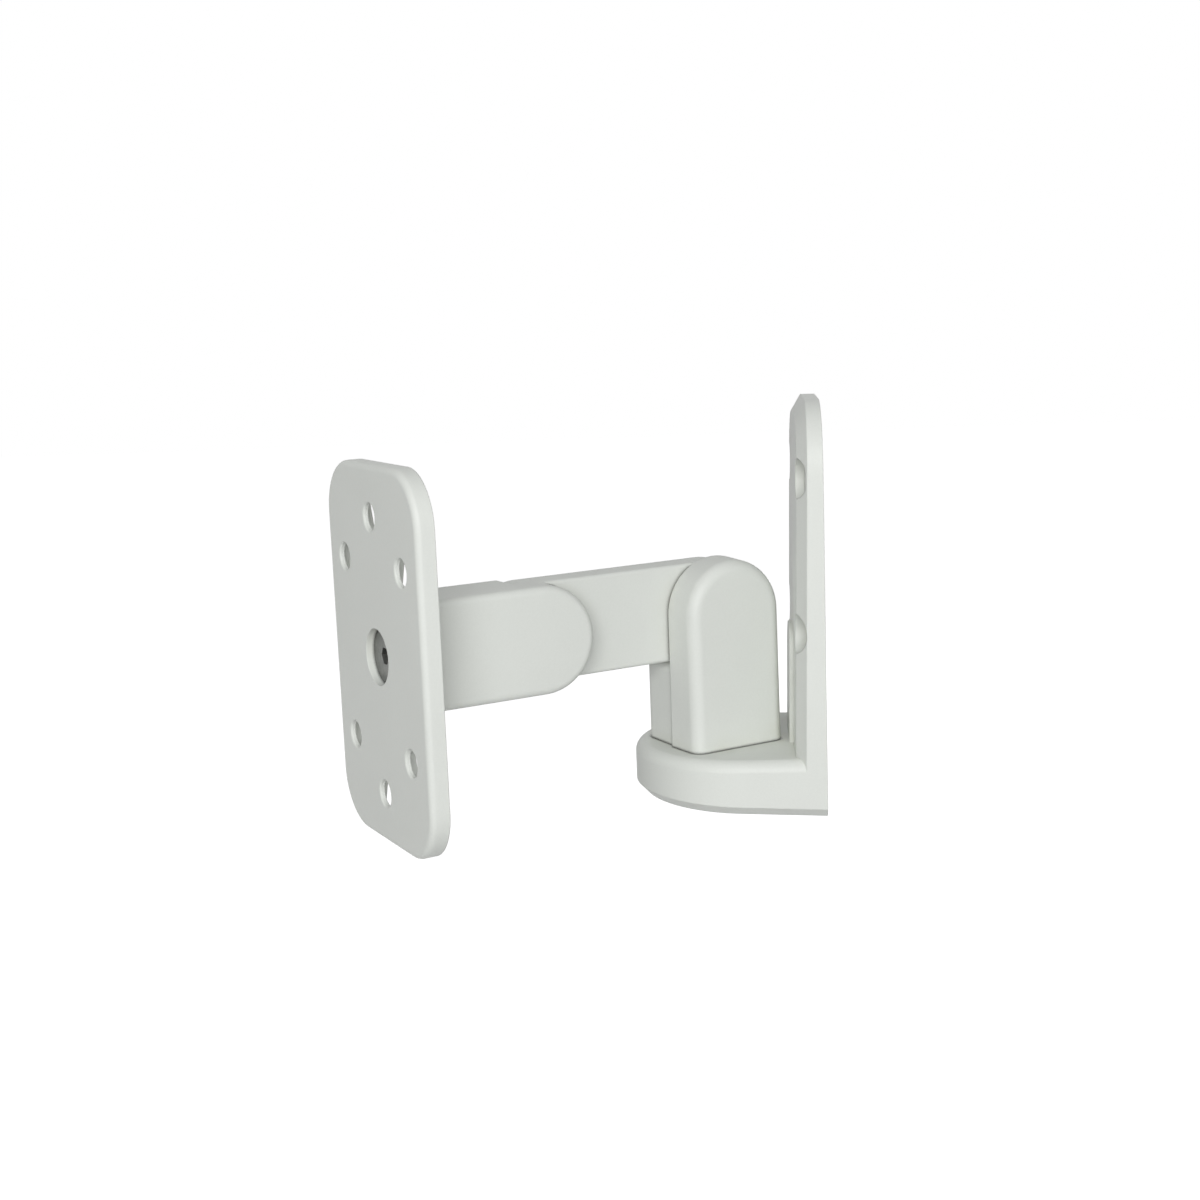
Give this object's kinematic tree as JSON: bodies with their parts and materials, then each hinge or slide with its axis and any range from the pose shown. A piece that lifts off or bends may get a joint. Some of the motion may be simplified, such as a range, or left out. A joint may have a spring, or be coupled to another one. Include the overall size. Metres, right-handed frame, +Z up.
{
  "type": "speaker wall bracket",
  "caption": "Die-cast wall bracket for a loudspeaker: arched wall plate with a shelf, swivel column, two tilting arms and a drilled speaker plate.",
  "frame": {"origin": "centre of the four wall screws, on the back face of the wall casting", "axes": "+Y into the wall, +Z up, +X along the wall to the right as seen from the room; the room is on the -Y side"},
  "size_m": [0.1349, 0.1556, 0.1343],
  "materials": {
    "paint": "satin pale grey powder coat on die-cast metal",
    "bolt_steel": "zinc-plated steel",
    "washer_zinc": "bright zinc plate",
    "friction_plastic": "black nylon"
  },
  "bodies": {
    "wall": {"wall_bracket": "paint", "pan_friction_ring": "friction_plastic"},
    "column": {"swivel_column": "paint", "pan_bolt": "bolt_steel", "pan_spring_washer": "washer_zinc", "pan_flat_washer": "washer_zinc", "pan_lower_ring": "friction_plastic", "shoulder_friction_disc": "friction_plastic", "shoulder_bolt": "bolt_steel", "shoulder_spring_washer": "washer_zinc", "shoulder_flat_washer": "washer_zinc"},
    "rear": {"rear_arm": "paint", "shoulder_outer_ring": "friction_plastic", "elbow_outer_ring": "friction_plastic"},
    "front": {"front_arm": "paint", "elbow_bolt": "bolt_steel", "elbow_spring_washer": "washer_zinc", "elbow_flat_washer": "washer_zinc", "elbow_friction_disc": "friction_plastic", "plate_screw": "bolt_steel", "plate_friction_ring": "friction_plastic"},
    "plate": {"speaker_plate": "paint"}
  },
  "joints": [
    {"name": "column_swivel", "type": "hinge", "parent": "wall", "child": "column", "pos_m": [0, -0.0376, -0.066], "axis": [0, 0, 1], "range_deg": [-108.3, 41.7]},
    {"name": "shoulder_tilt", "type": "hinge", "parent": "column", "child": "rear", "pos_m": [0, -0.0376, -0.0208], "axis": [-0.8358, -0.549, 0], "range_deg": [0, 45]},
    {"name": "elbow_tilt", "type": "hinge", "parent": "rear", "child": "front", "pos_m": [0.0381, -0.0956, -0.0208], "axis": [-0.8358, -0.549, 0], "range_deg": [-20, 20]},
    {"name": "plate_turn", "type": "hinge", "parent": "front", "child": "plate", "pos_m": [0.06809, -0.13214, -0.0208], "axis": [0.549, -0.8358, 0], "range_deg": [-90, 90]}
  ]
}
